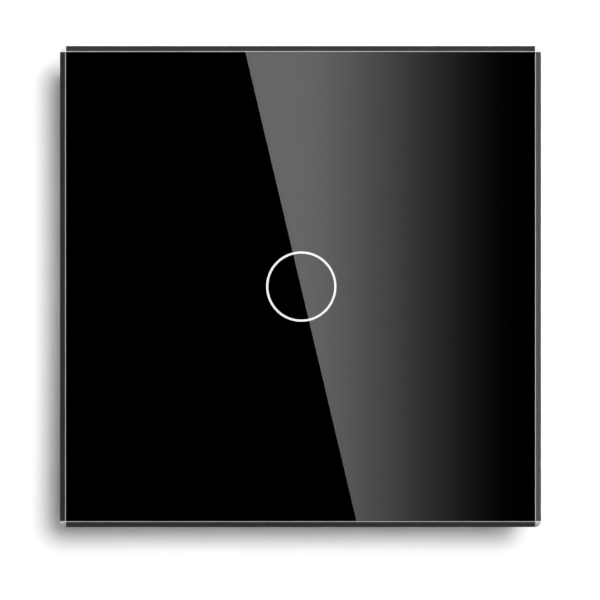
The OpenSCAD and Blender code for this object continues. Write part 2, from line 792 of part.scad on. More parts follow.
module relay_case() color([0.1, 0.25, 0.55, 0.6]) on_power_board(relay_place) difference() {
  slab(0, relay_height) square([relay_length, relay_width], center = true);
  slab(-cut, relay_height - case_wall)
    square([relay_length - 2 * case_wall, relay_width - 2 * case_wall], center = true);
}

module storage_capacitor() color([0.15, 0.15, 0.2]) on_power_board(can_place) {
  cylinder(d = can_diameter, h = 1);
  cylinder(d = can_diameter - 0.6, h = can_height);
  translate([0, 0, 1.6]) cylinder(d = can_diameter, h = can_height - 1.9);
}

module film_capacitor() color([0.85, 0.75, 0.2]) on_power_board(film_place)
  slab(0, film_size[2]) square([film_size[0], film_size[1]], center = true);

module varistor() color([0.15, 0.3, 0.6]) on_power_board(varistor_place) {
  slab(0, varistor_neck[2]) square([varistor_neck[0], varistor_neck[1]], center = true);
  translate([0, varistor_thickness / 2, varistor_diameter / 2 + 1]) rotate([90, 0, 0])
    cylinder(d = varistor_diameter, h = varistor_thickness);
}

module fuse() color([0.1, 0.1, 0.1]) on_power_board(fuse_place)
  cylinder(r = fuse_radius, h = fuse_height);

module choke_core() color([0.2, 0.2, 0.2]) on_power_board(choke_place) {
  cylinder(d = choke_diameter, h = choke_flange);
  cylinder(d = choke_diameter / 2, h = choke_height);
  translate([0, 0, choke_height - choke_flange]) cylinder(d = choke_diameter, h = choke_flange);
}

module choke_winding() color([0.7, 0.35, 0.15]) on_power_board(choke_place)
  slab(choke_flange, choke_height - choke_flange) difference() {
    circle(d = choke_diameter - 1);
    circle(d = choke_diameter / 2 + 2 * snug);
  }

module rectifier() color([0.08, 0.08, 0.08]) on_power_board(rectifier_place)
  slab(0, rectifier_size[2]) square([rectifier_size[0], rectifier_size[1]], center = true);

upright() glass_panel();
upright() back_print();
upright() ring_icon();
upright() panel_tape();
upright() panel_carrier();
upright() base_frame();
upright() panel_clips();
upright() mounting_bracket();
upright() frame_screws();
upright() rear_housing();
upright() touch_board();
upright() touch_spring();
upright() light_guide();
upright() ring_leds();
upright() touch_chip();
upright() chip_legs();
upright() chip_resistors();
upright() chip_capacitors();
upright() header_block();
upright() header_pins();
upright() header_socket();
upright() board_spacers();
upright() power_board();
upright() soldered_leads();
upright() terminal_block();
upright() terminal_bars();
upright() live_screw();
upright() live_cage();
upright() load_screw();
upright() load_cage();
upright() neutral_screw();
upright() neutral_cage();
upright() relay_base();
upright() relay_yoke();
upright() relay_core();
upright() relay_bobbin();
upright() relay_coil();
upright() relay_armature();
upright() contact_leaf();
upright() relay_contact();
upright() relay_case();
upright() storage_capacitor();
upright() film_capacitor();
upright() varistor();
upright() fuse();
upright() choke_core();
upright() choke_winding();
upright() rectifier();
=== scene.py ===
import math

import bmesh
import bpy
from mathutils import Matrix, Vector


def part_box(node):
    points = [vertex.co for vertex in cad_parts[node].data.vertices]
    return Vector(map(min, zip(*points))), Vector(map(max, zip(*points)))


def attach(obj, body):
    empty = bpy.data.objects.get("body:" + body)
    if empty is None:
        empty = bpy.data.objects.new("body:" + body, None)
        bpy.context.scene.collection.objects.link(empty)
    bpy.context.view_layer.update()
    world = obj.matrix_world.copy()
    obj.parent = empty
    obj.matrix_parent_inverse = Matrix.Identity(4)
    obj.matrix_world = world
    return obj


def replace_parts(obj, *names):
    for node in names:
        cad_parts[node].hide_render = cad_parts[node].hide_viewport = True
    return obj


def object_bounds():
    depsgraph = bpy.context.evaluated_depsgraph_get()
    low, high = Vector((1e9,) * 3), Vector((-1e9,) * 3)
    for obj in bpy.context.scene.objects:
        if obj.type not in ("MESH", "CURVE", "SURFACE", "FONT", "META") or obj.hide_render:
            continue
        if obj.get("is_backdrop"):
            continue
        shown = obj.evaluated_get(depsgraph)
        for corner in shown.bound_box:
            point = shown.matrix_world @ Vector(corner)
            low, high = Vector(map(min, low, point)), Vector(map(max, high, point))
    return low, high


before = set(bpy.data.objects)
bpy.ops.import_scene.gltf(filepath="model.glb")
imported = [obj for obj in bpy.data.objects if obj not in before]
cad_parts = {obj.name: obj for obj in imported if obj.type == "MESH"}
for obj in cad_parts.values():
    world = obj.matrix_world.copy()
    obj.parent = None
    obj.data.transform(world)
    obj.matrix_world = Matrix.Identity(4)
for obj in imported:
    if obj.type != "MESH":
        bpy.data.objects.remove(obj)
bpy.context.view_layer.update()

# Power board: a 1.6 mm glass-fibre board in green solder mask, cut and drilled from a sheet.
# It stands on the four posts of the rear housing and carries the supply and the relay.
mm = 0.001
colour_a, colour_b, mixed_colour = 6, 7, 2  # sockets of a Mix node that mixes colours


def node(tree, kind, inputs=(), **settings):
    """A shader node of that kind, each input linked if it is given a socket and set otherwise."""
    made = tree.nodes.new("ShaderNode" + kind)
    for name, value in settings.items():
        setattr(made, name, value)
    for name, value in dict(inputs).items():
        if isinstance(value, bpy.types.NodeSocket):
            tree.links.new(value, made.inputs[name])
        else:
            made.inputs[name].default_value = value
    return made


def reckon(tree, operation, *values):
    """What a Math node makes of those sockets and numbers."""
    return node(tree, "Math", dict(enumerate(values)), operation=operation).outputs[0]


def finish_group(name, colours, numbers):
    """An empty shader group with those inputs, and a colour, roughness and height to put out."""
    tree = bpy.data.node_groups.new(name, "ShaderNodeTree")
    for label in colours:
        tree.interface.new_socket(label, in_out="INPUT", socket_type="NodeSocketColor")
    for label in numbers:
        tree.interface.new_socket(label, in_out="INPUT", socket_type="NodeSocketFloat")
    tree.interface.new_socket("Colour", in_out="OUTPUT", socket_type="NodeSocketColor")
    tree.interface.new_socket("Roughness", in_out="OUTPUT", socket_type="NodeSocketFloat")
    tree.interface.new_socket("Height", in_out="OUTPUT", socket_type="NodeSocketFloat")
    given = tree.nodes.new("NodeGroupInput").outputs
    return tree, given, tree.nodes.new("NodeGroupOutput").inputs


def put_out(tree, out, colour, roughness, height):
    """Links a group's three outputs."""
    tree.links.new(colour, out["Colour"])
    tree.links.new(roughness, out["Roughness"])
    tree.links.new(height, out["Height"])


def blended(tree, share, low, high):
    """The colour between two others at that share."""
    mix = node(tree, "Mix", data_type="RGBA")
    tree.links.new(share, mix.inputs["Factor"])
    tree.links.new(low, mix.inputs[colour_a])
    tree.links.new(high, mix.inputs[colour_b])
    return mix.outputs[mixed_colour]


def between(tree, share, low, high):
    """The number between two others at that share."""
    made = node(tree, "MapRange", {"Value": share, "To Min": low, "To Max": high})
    return made.outputs["Result"]


# Solder mask: copper areas show through it a little lighter, over the faint weave of the laminate.
bare_share = 0.42
weave_scale = 330
weave_relief = 0.08
solder_mask, given, out = finish_group(
    "solder_mask", ("Laminate", "Copper"), ("Smooth", "Rough"))
place = node(solder_mask, "TexCoord").outputs["Object"]
pour = node(solder_mask, "TexVoronoi", {"Vector": place, "Scale": 210, "Randomness": 0.7},
            distance="CHEBYCHEV")
poured = reckon(solder_mask, "GREATER_THAN", pour.outputs["Color"], bare_share)
across, along = [
    node(solder_mask, "TexWave", {"Vector": place, "Scale": weave_scale},
         bands_direction=direction).outputs["Fac"] for direction in ("X", "Z")]
weave = reckon(solder_mask, "ADD", across, along)
flow = node(solder_mask, "TexNoise", {"Vector": place, "Scale": 900, "Detail": 3}).outputs["Fac"]
put_out(solder_mask, out, blended(solder_mask, poured, given["Laminate"], given["Copper"]),
        between(solder_mask, flow, given["Smooth"], given["Rough"]),
        reckon(solder_mask, "MULTIPLY_ADD", weave, weave_relief, poured))


def dressed(name, group, values, bump, depth, **shading):
    """A material whose colour, roughness and relief come from a finish group; the rest is plain."""
    made = bpy.data.materials.new(name)
    made.use_nodes = True
    tree = made.node_tree
    shader = tree.nodes["Principled BSDF"]
    finish = tree.nodes.new("ShaderNodeGroup")
    finish.node_tree = group
    for label, value in values.items():
        finish.inputs[label].default_value = value
    relief = node(tree, "Bump", {
        "Strength": bump, "Distance": depth, "Height": finish.outputs["Height"]})
    tree.links.new(finish.outputs["Colour"], shader.inputs["Base Color"])
    tree.links.new(finish.outputs["Roughness"], shader.inputs["Roughness"])
    tree.links.new(relief.outputs["Normal"], shader.inputs["Normal"])
    for label, value in shading.items():
        shader.inputs[label.replace("_", " ")].default_value = value
    return made


def wear(material, *nodes):
    """Gives a finish to parts that keep their drawn shape."""
    for name in nodes:
        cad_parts[name].material_slots[0].material = material


wear(dressed("green_board", solder_mask, {
    "Laminate": (0.020, 0.105, 0.050, 1), "Copper": (0.030, 0.165, 0.075, 1),
    "Smooth": 0.28, "Rough": 0.42}, bump=0.35, depth=0.03 * mm, IOR=1.5), "power_board")

# Leads of the parts on the power board: tinned copper pins through its holes.
# Each ends in a cone of solder on the front, drawn up the pin by the melt.
plated, given, out = finish_group(
    "plated", ("Bright", "Dull"), ("Grain", "Drawn", "Smooth", "Rough"))
place = node(plated, "TexCoord").outputs["Object"]
stretch = node(plated, "CombineXYZ", {
    "X": given["Grain"], "Y": given["Grain"], "Z": given["Drawn"]}).outputs[0]
laid = node(plated, "VectorMath", {0: place, 1: stretch}, operation="MULTIPLY").outputs[0]
streak = node(plated, "TexNoise", {"Vector": laid, "Scale": 1, "Detail": 4}).outputs["Fac"]
patch = node(plated, "TexNoise", {"Vector": place, "Scale": 240, "Detail": 2}).outputs["Fac"]
share = node(plated, "MapRange", {"Value": patch, "From Min": 0.3, "From Max": 0.7})
put_out(plated, out, blended(plated, share.outputs["Result"], given["Dull"], given["Bright"]),
        between(plated, streak, given["Smooth"], given["Rough"]), streak)

tin = dressed("tin", plated, {
    "Bright": (0.74, 0.75, 0.76, 1), "Dull": (0.56, 0.57, 0.59, 1), "Grain": 3000, "Drawn": 3000,
    "Smooth": 0.22, "Rough": 0.4}, bump=0.15, depth=0.02 * mm, Metallic=1)
wear(tin, "soldered_leads")

# Parts on the rear of the power board: relay case, film and storage capacitors, varistor, fuse,
# rectifier and choke. Cases are moulded or potted, the varistor is dipped, the can has a sleeve.
moulded, given, out = finish_group("moulded", ("Pale", "Deep"), ("Grain", "Smooth", "Rough"))
place = node(moulded, "TexCoord").outputs["Object"]
cloud = node(moulded, "TexNoise", {"Vector": place, "Scale": 120, "Detail": 3}).outputs["Fac"]
share = node(moulded, "MapRange", {"Value": cloud, "From Min": 0.3, "From Max": 0.7})
spark = node(moulded, "TexNoise", {"Vector": place, "Scale": given["Grain"], "Detail": 2})
fine = node(moulded, "MapRange", {
    "Value": spark.outputs["Fac"], "From Min": 0.35, "From Max": 0.65}).outputs["Result"]
put_out(moulded, out, blended(moulded, share.outputs["Result"], given["Deep"], given["Pale"]),
        between(moulded, fine, given["Smooth"], given["Rough"]), fine)

same_point = 0.002 * mm
flat_angle = math.radians(0.5)
edge_angle = math.radians(40)
edge_steps = 2


def break_edges(width, *nodes):
    """Rounds the edges of parts that keep their drawn shape, by that width."""
    for name in nodes:
        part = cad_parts[name]
        join = part.modifiers.new("join", "WELD")
        join.merge_threshold = same_point
        flat = part.modifiers.new("flat", "DECIMATE")
        flat.decimate_type = "DISSOLVE"
        flat.angle_limit = flat_angle
        rim = part.modifiers.new("rim", "BEVEL")
        rim.width = width
        rim.segments = edge_steps
        rim.limit_method = "ANGLE"
        rim.angle_limit = edge_angle
        shade = part.modifiers.new("shade", "WEIGHTED_NORMAL")
        shade.keep_sharp = False


wear(dressed("yellow_case", moulded, {
    "Pale": (0.72, 0.50, 0.055, 1), "Deep": (0.64, 0.43, 0.04, 1), "Grain": 4000,
    "Smooth": 0.3, "Rough": 0.45}, bump=0.2, depth=0.02 * mm), "film_capacitor")
wear(dressed("dark_sleeve", moulded, {
    "Pale": (0.030, 0.032, 0.060, 1), "Deep": (0.022, 0.024, 0.046, 1), "Grain": 1500,
    "Smooth": 0.2, "Rough": 0.3}, bump=0.1, depth=0.02 * mm), "storage_capacitor")
wear(dressed("blue_coat", moulded, {
    "Pale": (0.055, 0.15, 0.43, 1), "Deep": (0.035, 0.11, 0.36, 1), "Grain": 900,
    "Smooth": 0.25, "Rough": 0.4}, bump=0.3, depth=0.04 * mm), "varistor")
wear(dressed("ferrite", moulded, {
    "Pale": (0.060, 0.060, 0.064, 1), "Deep": (0.038, 0.038, 0.041, 1), "Grain": 5000,
    "Smooth": 0.5, "Rough": 0.7}, bump=0.4, depth=0.02 * mm), "choke_core")
black_epoxy = dressed("black_epoxy", moulded, {
    "Pale": (0.022, 0.022, 0.023, 1), "Deep": (0.015, 0.015, 0.016, 1), "Grain": 6000,
    "Smooth": 0.45, "Rough": 0.6}, bump=0.3, depth=0.012 * mm)
wear(black_epoxy, "fuse", "rectifier")
wear(dressed("blue_case", moulded, {
    "Pale": (0.020, 0.085, 0.30, 1), "Deep": (0.015, 0.068, 0.25, 1), "Grain": 3500,
    "Smooth": 0.25, "Rough": 0.36}, bump=0.15, depth=0.02 * mm), "relay_case")
break_edges(0.3 * mm, "film_capacitor", "rectifier", "relay_case")

# Windings of the choke and of the relay: enamelled copper wire, laid turn beside turn.
# Each is wound tight over its core or bobbin, between two flanges.
copper = dressed("copper_wire", plated, {
    "Bright": (0.66, 0.27, 0.10, 1), "Dull": (0.46, 0.16, 0.055, 1), "Grain": 900, "Drawn": 900,
    "Smooth": 0.25, "Rough": 0.4}, bump=0.1, depth=0.01 * mm, Metallic=1, Coat_Weight=0.5)


def at(x, up, out):
    """A point from its place across and up the wall, and out of it, in millimetres."""
    return Vector((x * mm, -out * mm, up * mm))


def skin(bm, loops):
    """Joins each loop of points to the next by a band of faces, and gives those faces."""
    faces = []
    for first, second in zip(loops, loops[1:]):
        for s in range(len(first)):
            t = (s + 1) % len(first)
            faces.append(bm.faces.new((first[s], first[t], second[t], second[s])))
    return faces


def shape(name, bm, body, slot, *materials):
    """Makes a mesh into a piece that rides on a body and takes the given materials; slot is not
    used.
    """
    bmesh.ops.recalc_face_normals(bm, faces=bm.faces)
    mesh = bpy.data.meshes.new(name)
    bm.to_mesh(mesh)
    bm.free()
    for material in materials:
        mesh.materials.append(material)
    piece = bpy.data.objects.new(name, mesh)
    bpy.context.scene.collection.objects.link(piece)
    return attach(piece, body)


def winding(name, stands_for, inner, wire, sides=40, rings=4):
    """Turns of wire over a core, one ridge for each turn, as long as the drawn winding."""
    low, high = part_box(stands_for)
    middle = (low + high) / 2
    outer = (high.x - low.x) / 2
    turns = round((high.y - low.y) / wire)
    pitch = (high.y - low.y) / turns
    profile = [(inner, low.y)]
    for turn in range(turns):
        for step in range(rings):
            angle = math.pi * (step + 0.5) / rings
            crown = outer - pitch / 2 * (1 - math.sin(angle))
            profile.append((crown, low.y + pitch * (turn + 0.5 - 0.5 * math.cos(angle))))
    profile.append((inner, high.y))
    bm = bmesh.new()
    loops = []
    for radius, y in profile:
        loops.append([bm.verts.new((middle.x + radius * math.cos(2 * math.pi * s / sides), y,
                                    middle.z + radius * math.sin(2 * math.pi * s / sides)))
                      for s in range(sides)])
    for face in skin(bm, loops + loops[:1]):
        face.smooth = True
    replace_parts(shape(name, bm, "base", "copper_wire", copper), stands_for)


winding("choke_turns", "choke_winding", inner=1.75 * mm, wire=0.4 * mm)
winding("relay_turns", "relay_coil", inner=2.15 * mm, wire=0.25 * mm)

# Relay works: yoke, core and hinged armature of soft iron, plated dull against rust, on a black
# moulded base with a milky bobbin. A brass leaf on the armature carries the moving contact over
# the fixed one.
wear(dressed("soft_iron", plated, {
    "Bright": (0.50, 0.50, 0.52, 1), "Dull": (0.38, 0.38, 0.40, 1), "Grain": 1800, "Drawn": 500,
    "Smooth": 0.35, "Rough": 0.5}, bump=0.1, depth=0.02 * mm, Metallic=1),
    "relay_yoke", "relay_core", "relay_armature")
brass = dressed("brass", plated, {
    "Bright": (0.75, 0.56, 0.22, 1), "Dull": (0.62, 0.44, 0.16, 1), "Grain": 2600, "Drawn": 500,
    "Smooth": 0.22, "Rough": 0.36}, bump=0.1, depth=0.02 * mm, Metallic=1)
wear(brass, "contact_leaf", "relay_contact")
milky = dressed("milky_plastic", moulded, {
    "Pale": (0.86, 0.86, 0.84, 1), "Deep": (0.80, 0.80, 0.78, 1), "Grain": 3000,
    "Smooth": 0.3, "Rough": 0.42}, bump=0.1, depth=0.02 * mm,
    Subsurface_Weight=0.3, Subsurface_Scale=0.5 * mm)
wear(milky, "relay_bobbin")
wear(black_epoxy, "relay_base")

# Terminals: a green moulded block with three lifting clamps, set on the board's rear.
# Each slotted screw turns in place and draws its nickel-plated cage up against a brass bar.
wear(dressed("green_plastic", moulded, {
    "Pale": (0.070, 0.26, 0.12, 1), "Deep": (0.055, 0.21, 0.095, 1), "Grain": 4500,
    "Smooth": 0.35, "Rough": 0.5}, bump=0.25, depth=0.02 * mm), "terminal_block")
wear(brass, "terminal_bars")
screw_steel = dressed("screw_steel", plated, {
    "Bright": (0.62, 0.63, 0.66, 1), "Dull": (0.47, 0.48, 0.51, 1), "Grain": 2200, "Drawn": 2200,
    "Smooth": 0.2, "Rough": 0.36}, bump=0.12, depth=0.02 * mm, Metallic=1)
cage_steel = dressed("cage_steel", plated, {
    "Bright": (0.68, 0.66, 0.62, 1), "Dull": (0.54, 0.52, 0.49, 1), "Grain": 2400, "Drawn": 600,
    "Smooth": 0.25, "Rough": 0.4}, bump=0.1, depth=0.02 * mm, Metallic=1)
for pole in ("live", "load", "neutral"):
    wear(screw_steel, pole + "_screw")
    wear(cage_steel, pole + "_cage")

# Rear housing: a box moulded in white polycarbonate with a flange that lies on the bracket.
# Its mould is spark-eroded, so the outside is satin; three holes let the wires in.
white_plastic = dressed("white_pc", moulded, {
    "Pale": (0.80, 0.80, 0.78, 1), "Deep": (0.755, 0.755, 0.73, 1), "Grain": 5200,
    "Smooth": 0.36, "Rough": 0.52}, bump=0.3, depth=0.015 * mm)
wear(white_plastic, "rear_housing")
break_edges(0.5 * mm, "rear_housing")

# Board connector and spacers: brass pins in two black moulded blocks join the boards.
# Four milky tubes in line with the housing's posts hold the touch board off the power board.
wear(black_epoxy, "header_block", "header_socket")
wear(brass, "header_pins")
wear(milky, "board_spacers")

# Touch board: a 1 mm board in black solder mask over the power board, with its small parts.
# Tracks stand proud under the mask, and the chip, resistors and capacitors are soldered on.
wear(dressed("black_board", solder_mask, {
    "Laminate": (0.010, 0.013, 0.012, 1), "Copper": (0.020, 0.026, 0.023, 1),
    "Smooth": 0.25, "Rough": 0.38}, bump=0.35, depth=0.03 * mm), "touch_board")
wear(dressed("resistor_black", moulded, {
    "Pale": (0.018, 0.018, 0.022, 1), "Deep": (0.012, 0.012, 0.015, 1), "Grain": 5000,
    "Smooth": 0.15, "Rough": 0.25}, bump=0.1, depth=0.01 * mm), "chip_resistors")
wear(dressed("ceramic_tan", moulded, {
    "Pale": (0.42, 0.27, 0.14, 1), "Deep": (0.35, 0.21, 0.10, 1), "Grain": 6000,
    "Smooth": 0.4, "Rough": 0.55}, bump=0.2, depth=0.01 * mm), "chip_capacitors")
wear(black_epoxy, "touch_chip")
wear(tin, "chip_legs")
break_edges(0.1 * mm, "touch_chip")

board_front = -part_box("touch_board")[0].y / mm
track_width = 0.3
track_proud = 0.03
sharpest_mitre = 0.5
tracks = (
    ((-6.6, 10.5), (-5.5, 10.6)),
    ((-6.6, 9.24), (-6.0, 8.7), (-5.5, 8.4)),
    ((-6.6, 7.97), (-5.9, 7.3), (-5.9, 6.4), (-5.2, 5.7)),
    ((-6.6, 6.7), (-7.2, 6.1), (-7.2, 4.2), (-8.6, 2.8)),
    ((-12.6, 10.5), (-13.3, 11.2), (-13.3, 15)),
    ((-12.6, 9.24), (-14.0, 9.24), (-14.0, 15)),
    ((-12.6, 7.97), (-13.4, 7.1), (-13.4, -6.2), (-10.85, -8.8), (-10.85, -9.6)),
    ((-12.6, 6.7), (-12.2, 6.3), (-12.2, -2), (-9.6, -4.6)),
    ((-3.45, 10.6), (-1.6, 10.6), (-0.9, 11.3), (-0.9, 15)),
    ((-3.45, 8.4), (2.2, 8.4), (2.8, 9), (3.4, 9)),
    ((3.4, 11), (3.4, 15)),
    ((5.8, 11), (5.8, 15)),
    ((5.8, 9), (6.6, 8.2), (6.6, 7.2), (8.55, 7.2)),
    ((10.65, 9.4), (12, 9.4), (12, 15)),
    ((8.55, 9.4), (7.6, 10.3), (7.6, 15)),
    ((10.65, 7.2), (12.6, 5.2), (12.6, -6), (10.65, -8)),
    ((8.55, -8), (7.3, -9.2), (4.2, -9.2)),
    ((4.2, -11.2), (4.2, -15)),
    ((-3.6, -11.2), (-3.6, -15)),
    ((-3.6, -9.1), (-3, -8.5), (3.6, -8.5), (4.2, -9.1)),
    ((-8.75, -9.6), (-7, -9.6), (-5.6, -11), (-5.6, -15)))


def prism(bm, outline, low, high):
    """A flat outline raised between two distances out of the wall."""
    floor = [bm.verts.new(at(x, up, low)) for x, up in outline]
    roof = [bm.verts.new(at(x, up, high)) for x, up in outline]
    bm.faces.new(floor)
    bm.faces.new(roof)
    skin(bm, [floor, roof])


def ribbon(points, width):
    """The outline of a track along a line of points, mitred at its bends."""
    left, right = [], []
    for i, (x, up) in enumerate(points):
        before = Vector(points[max(i - 1, 0)])
        after = Vector(points[min(i + 1, len(points) - 1)])
        here = Vector((x, up))
        ways = [v.normalized() for v in (here - before, after - here) if v.length > 0]
        way = sum(ways, Vector((0, 0))).normalized()
        side = Vector((-way.y, way.x)) * width / 2 / max(way.dot(ways[0]), sharpest_mitre)
        left.append(tuple(here + side))
        right.append(tuple(here - side))
    return left + right[::-1]


bm = bmesh.new()
for points in tracks:
    prism(bm, ribbon(points, track_width), board_front, board_front + track_proud)
shape("board_tracks", bm, "base", "black_board", dressed("masked_track", solder_mask, {
    "Laminate": (0.034, 0.045, 0.040, 1), "Copper": (0.040, 0.053, 0.046, 1),
    "Smooth": 0.22, "Rough": 0.34}, bump=0.1, depth=0.01 * mm))

# Pads of the touch board: bare copper plated with gold, where the maker's test pins touch it.
# The small ones mark where a track goes through the board.
gold = dressed("gold_spring", plated, {
    "Bright": (0.80, 0.62, 0.27, 1), "Dull": (0.70, 0.52, 0.20, 1), "Grain": 2600, "Drawn": 2600,
    "Smooth": 0.18, "Rough": 0.32}, bump=0.08, depth=0.02 * mm, Metallic=1)
test_pads = ((12.9, 11.6), (11.8, -11.4), (-1.2, -12), (13.3, 1.5), (-13, -10.4), (1.4, 11.6))
test_pad_radius = 0.65
test_pad_proud = 0.03
through_pads = ((-5.2, 5.7), (-8.6, 2.8), (-9.6, -4.6))
through_pad_radius = 0.35
through_pad_proud = 0.04


def ring(x, up, radius, sides=20):
    """The points of a circle that lies flat to the wall."""
    angles = [2 * math.pi * s / sides for s in range(sides)]
    return [(x + radius * math.cos(angle), up + radius * math.sin(angle)) for angle in angles]


bm = bmesh.new()
for x, up in test_pads:
    prism(bm, ring(x, up, test_pad_radius), board_front, board_front + test_pad_proud)
for x, up in through_pads:
    prism(bm, ring(x, up, through_pad_radius), board_front, board_front + through_pad_proud)
shape("board_pads", bm, "base", "gold_spring", gold)

# Ends of the chip resistors and capacitors: tin caps wrapped over both ends of each.
# They stand a hair proud of the body and are what the solder holds.
resistors = ((-4.5, 10.6), (-4.5, 8.4), (9.6, 9.4), (9.6, 7.2), (9.6, -8), (-9.8, -9.6))
capacitors = ((3.4, 10), (5.8, 10), (-3.6, -10.2), (4.2, -10.2))
half_length = 1
chip_width = 1.25
resistor_height = 0.5
capacitor_height = 0.9
cap_length = 0.35
cap_proud = 0.02
ends = []
for x, up in resistors:
    ends += [(x + s * half_length, up, s, 0, resistor_height) for s in (-1, 1)]
for x, up in capacitors:
    ends += [(x, up + s * half_length, 0, s, capacitor_height) for s in (-1, 1)]
bm = bmesh.new()
half = chip_width / 2 + cap_proud
corners = [(cap_proud, -half), (cap_proud, half), (-cap_length, half), (-cap_length, -half)]
for x, up, sx, su, height in ends:
    prism(bm, [(x + a * sx - b * su, up + a * su + b * sx) for a, b in corners],
          board_front, board_front + height + cap_proud)
shape("chip_end_caps", bm, "base", "tin", tin)

# Solder on the touch board: a hollow fillet from each end cap and chip leg down to the board.
# It wets the metal, so it thins out to nothing at the edge of its pad.
cap_fillet = 0.55
cap_climb = 0.7
chip_x, chip_up = -9.6, 8.6
leg_rows = (-1.5, -0.5, 0.5, 1.5)
leg_pitch = 1.27
leg_reach = 3.0
leg_width = 0.5
leg_fillet = 0.4
leg_climb = 0.18
hollow_steps = 5
feet = [(x + cap_proud * sx, up + cap_proud * su, sx, su,
         chip_width, cap_fillet, cap_climb * height) for x, up, sx, su, height in ends]
for s in (-1, 1):
    feet += [(chip_x + leg_reach * s, chip_up + row * leg_pitch, s, 0,
              leg_width, leg_fillet, leg_climb) for row in leg_rows]
bm = bmesh.new()
for x, up, sx, su, width, length, height in feet:
    angles = [math.pi / 2 * k / hollow_steps for k in range(hollow_steps + 1)]
    curve = [(length * (1 - math.sin(angle)), height * (1 - math.cos(angle))) for angle in angles]
    sides = []
    for b in (-width / 2, width / 2):
        sides.append([bm.verts.new(at(x + a * sx - b * su, up + a * su + b * sx, board_front + h))
                      for a, h in curve + [(0, 0)]])
    for face in sides:
        bm.faces.new(face)
    skin(bm, sides)
shape("solder_fillets", bm, "base", "tin", dressed("solder", plated, {
    "Bright": (0.70, 0.71, 0.73, 1), "Dull": (0.52, 0.53, 0.55, 1), "Grain": 1500, "Drawn": 1500,
    "Smooth": 0.16, "Rough": 0.3}, bump=0.08, depth=0.02 * mm, Metallic=1))

# Touch spring: gold-coloured wire wound in an open coil, its foot soldered in the board.
# Its tip presses on the back of the print and carries the touch to the board.
spring_wire = 0.45
coil_radius = 3.2
bend = 0.6
straight = 0.5
turns = 2.2
board_back = 1.9
print_back = 7.1
tip_gap = 0.05
coil_low = board_front + straight + bend
coil_high = print_back - tip_gap - straight - bend
round_steps = 28
bend_steps = 6
wire_sides = 12


def coil_point(angle):
    """A point of the coil's middle line at that angle from its start."""
    return Vector((coil_radius * math.cos(angle), coil_radius * math.sin(angle),
                   coil_low + (coil_high - coil_low) * angle / (2 * math.pi * turns)))


whole = 2 * math.pi * turns
last = coil_point(whole)
way = Vector((-math.sin(whole), math.cos(whole), 0))
bends = [math.pi / 2 / bend_steps * k for k in range(bend_steps + 1)]
path = [Vector((coil_radius, -bend, board_back))]
path += [Vector((coil_radius, -bend * math.cos(b), coil_low - bend + bend * math.sin(b)))
         for b in bends[:-1]]
steps = math.ceil(turns * round_steps)
path += [coil_point(whole * k / steps) for k in range(steps + 1)]
path += [last + way * bend * math.sin(b) + Vector((0, 0, bend * (1 - math.cos(b))))
         for b in bends[1:]]
path.append(last + way * bend + Vector((0, 0, bend + straight)))
bm = bmesh.new()
loops = []
side = Vector((1, 0, 0))
for i, point in enumerate(path):
    ahead = (path[min(i + 1, len(path) - 1)] - path[max(i - 1, 0)]).normalized()
    side = (side - ahead * side.dot(ahead)).normalized()
    over = ahead.cross(side)
    loop = []
    for s in range(wire_sides):
        angle = 2 * math.pi * s / wire_sides
        spot = point + (side * math.cos(angle) + over * math.sin(angle)) * spring_wire / 2
        loop.append(bm.verts.new(at(spot.x, spot.y, spot.z)))
    loops.append(loop)
for face in skin(bm, loops):
    face.smooth = True
bm.faces.new(loops[0])
bm.faces.new(loops[-1])
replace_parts(shape("touch_coil", bm, "base", "gold_spring", gold), "touch_spring")

# Ring light: four small lamps under a milky moulded ring that spreads their light.
# The lamps are white ceramic with a yellow lens and sit in pockets in the ring's foot.
wear(dressed("led_white", moulded, {
    "Pale": (0.90, 0.84, 0.50, 1), "Deep": (0.86, 0.76, 0.36, 1), "Grain": 3000,
    "Smooth": 0.15, "Rough": 0.25}, bump=0.1, depth=0.01 * mm), "ring_leds")
wear(milky, "light_guide")

# Mounting bracket: 1.2 mm sheet steel, stamped, pierced and zinc plated with a bluish finish.
# It is screwed to the wall box through its four slots and holds everything else.
wear(dressed("zinc_steel", plated, {
    "Bright": (0.42, 0.435, 0.46, 1), "Dull": (0.385, 0.40, 0.43, 1), "Grain": 2600, "Drawn": 500,
    "Smooth": 0.32, "Rough": 0.42}, bump=0.08, depth=0.02 * mm, Metallic=1), "mounting_bracket")
break_edges(0.15 * mm, "mounting_bracket")

# Base frame: a white moulded plate with a rim that clamps the housing's flange to the bracket.
# It leaves openings for the wall screws, the touch board and the clips at its sides, and round
# marks on its front show where pins pushed it out of the mould.
wear(white_plastic, "base_frame")
break_edges(0.2 * mm, "base_frame")
frame_front = -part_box("base_frame")[0].y / mm
mark_places = ((31.5, 31.5), (14, 31.5), (33, 9.5))
mark_outer, mark_inner = 1.6, 1.4
mark_sides = 32
mark_sunk, mark_proud = 0.05, 0.02
mark_foot, mark_top = frame_front - mark_sunk, frame_front + mark_proud
mark_rims = ((mark_outer, mark_foot), (mark_outer, mark_top),
             (mark_inner, mark_top), (mark_inner, mark_foot))
bm = bmesh.new()
for sx in (-1, 1):
    for su in (-1, 1):
        for x, up in mark_places:
            rims = []
            for radius, level in mark_rims:
                circle = ring(x * sx, up * su, radius, mark_sides)
                rims.append([bm.verts.new(at(a, b, level)) for a, b in circle])
            skin(bm, rims + rims[:1])
shape("ejector_marks", bm, "base", "white_pc", white_plastic)

# Frame screws: four zinc-plated machine screws with a cross recess, sunk in the frame.
# They go through frame and flange into tapped holes in the bracket.
wear(screw_steel, "frame_screws")
break_edges(0.12 * mm, "frame_screws")

